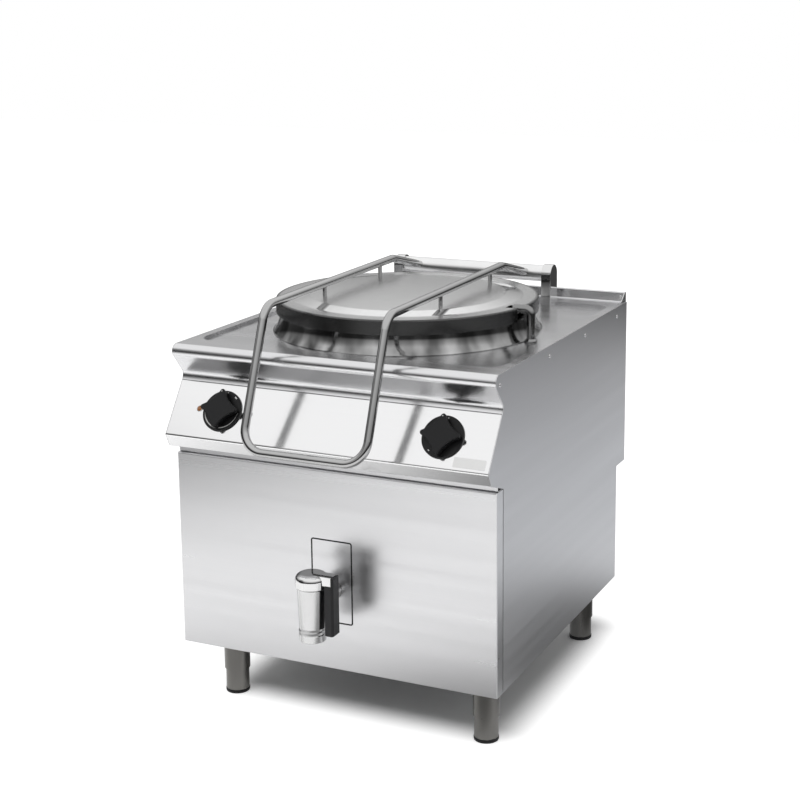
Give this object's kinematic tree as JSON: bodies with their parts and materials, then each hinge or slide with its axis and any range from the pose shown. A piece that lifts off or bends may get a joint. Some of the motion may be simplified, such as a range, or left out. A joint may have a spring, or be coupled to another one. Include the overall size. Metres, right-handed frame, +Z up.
{
  "type": "gas boiling kettle",
  "caption": "Square cabinet on four feet with a round boiling vessel under a hinged lid, a bowed lid handle, sloping controls and a front draw-off tap.",
  "frame": {"origin": "middle of the footprint of the whole appliance, feet and lid handle included, on the floor", "axes": "+X to the right seen from the front, +Y to the back, +Z up"},
  "size_m": [0.8036, 1.0122, 1.0037],
  "materials": {
    "panel": "fine brushed",
    "fascia": "fine brushed",
    "worktop": "satin",
    "zinc": "zinc-plated sheet",
    "vessel": "satin",
    "lid": "satin with a polished ring",
    "polished": "polished stainless steel",
    "chrome": "bright chrome",
    "tap_satin": "satin chrome",
    "black_plastic": "matt",
    "knob_black": "matt",
    "dial_black": "matt with pale marks",
    "black_rubber": "matt",
    "silicone": "matt",
    "bush_plastic": "smooth",
    "fibre": "woolly",
    "burner_iron": "raw casting",
    "brass": "machined",
    "valve_alloy": "die-cast",
    "copper": "drawn copper",
    "lamp": "clear amber"
  },
  "bodies": {
    "cabinet": {"base_frame": "zinc", "side_panel_right": "panel", "side_panel_left": "panel", "rear_panel": "zinc", "front_rail": "panel", "worktop": "worktop", "control_fascia": "fascia", "front_panel": "panel", "drain_cover_plate": "panel", "drain_cover_trim": "black_rubber", "vessel": "vessel", "vessel_bottom": "vessel", "vessel_collar": "polished", "chamber_shell": "zinc", "chamber_cover": "zinc", "insulation_blanket": "fibre", "burner": "burner_iron", "pilot_burner": "brass", "gas_valve": "valve_alloy", "water_valve": "brass", "gas_pipes": "copper", "water_pipes": "copper", "gas_inlet_union": "brass", "water_inlet_union": "brass", "flue_duct": "zinc", "flue_grille": "panel", "filler_spout": "polished", "spout_ferrule": "polished", "drain_pipe": "polished", "tap_union_nut": "chrome", "tap_body": "tap_satin", "hinge_axle": "panel", "hinge_brackets": "chrome", "dials": "dial_black", "pilot_lamp": "lamp", "igniter_body": "knob_black", "foot_sleeves": "panel", "panel_screws": "chrome"},
    "lid": {"lid_shell": "lid", "lid_seal": "silicone", "lid_frame": "polished", "lid_stay_pins": "polished", "hinge_tube": "polished", "hinge_bushes": "bush_plastic"},
    "tap_handle": {"tap_plug": "brass", "tap_cap": "chrome", "tap_grip": "black_plastic"},
    "gas_knob": {"knob_left": "knob_black", "gas_spindle": "brass"},
    "water_knob": {"knob_right": "knob_black", "water_spindle": "brass"},
    "igniter_push": {"igniter_button": "knob_black"},
    "foot_front_left": {"foot_stem_front_left": "panel", "foot_pad_front_left": "black_plastic"},
    "foot_front_right": {"foot_stem_front_right": "panel", "foot_pad_front_right": "black_plastic"},
    "foot_rear_left": {"foot_stem_rear_left": "panel", "foot_pad_rear_left": "black_plastic"},
    "foot_rear_right": {"foot_stem_rear_right": "panel", "foot_pad_rear_right": "black_plastic"}
  },
  "joints": [
    {"name": "lid_hinge", "type": "hinge", "parent": "cabinet", "child": "lid", "pos_m": [0, 0.44507, 0.9485], "axis": [-1, 0, 0], "range_deg": [0, 90]},
    {"name": "tap_turn", "type": "hinge", "parent": "cabinet", "child": "tap_handle", "pos_m": [0, -0.46492, 0.386], "axis": [0, 0, -1], "range_deg": [0, 90]},
    {"name": "gas_turn", "type": "hinge", "parent": "cabinet", "child": "gas_knob", "pos_m": [-0.269, -0.37871, 0.73396], "axis": [0, -0.826, 0.5636], "range_deg": [0, 270]},
    {"name": "water_turn", "type": "hinge", "parent": "cabinet", "child": "water_knob", "pos_m": [0.279, -0.37871, 0.73396], "axis": [0, -0.826, 0.5636], "range_deg": [0, 180]},
    {"name": "igniter_press", "type": "slide", "parent": "cabinet", "child": "igniter_push", "axis": [0, 0.826, -0.5636], "range_m": [0, 0.004], "stiffness_N_per_m": 400},
    {"name": "level_front_left", "type": "slide", "parent": "cabinet", "child": "foot_front_left", "axis": [0, 0, -1], "range_m": [0, 0.05]},
    {"name": "level_front_right", "type": "slide", "parent": "cabinet", "child": "foot_front_right", "axis": [0, 0, -1], "range_m": [0, 0.05]},
    {"name": "level_rear_left", "type": "slide", "parent": "cabinet", "child": "foot_rear_left", "axis": [0, 0, -1], "range_m": [0, 0.05]},
    {"name": "level_rear_right", "type": "slide", "parent": "cabinet", "child": "foot_rear_right", "axis": [0, 0, -1], "range_m": [0, 0.05]}
  ]
}
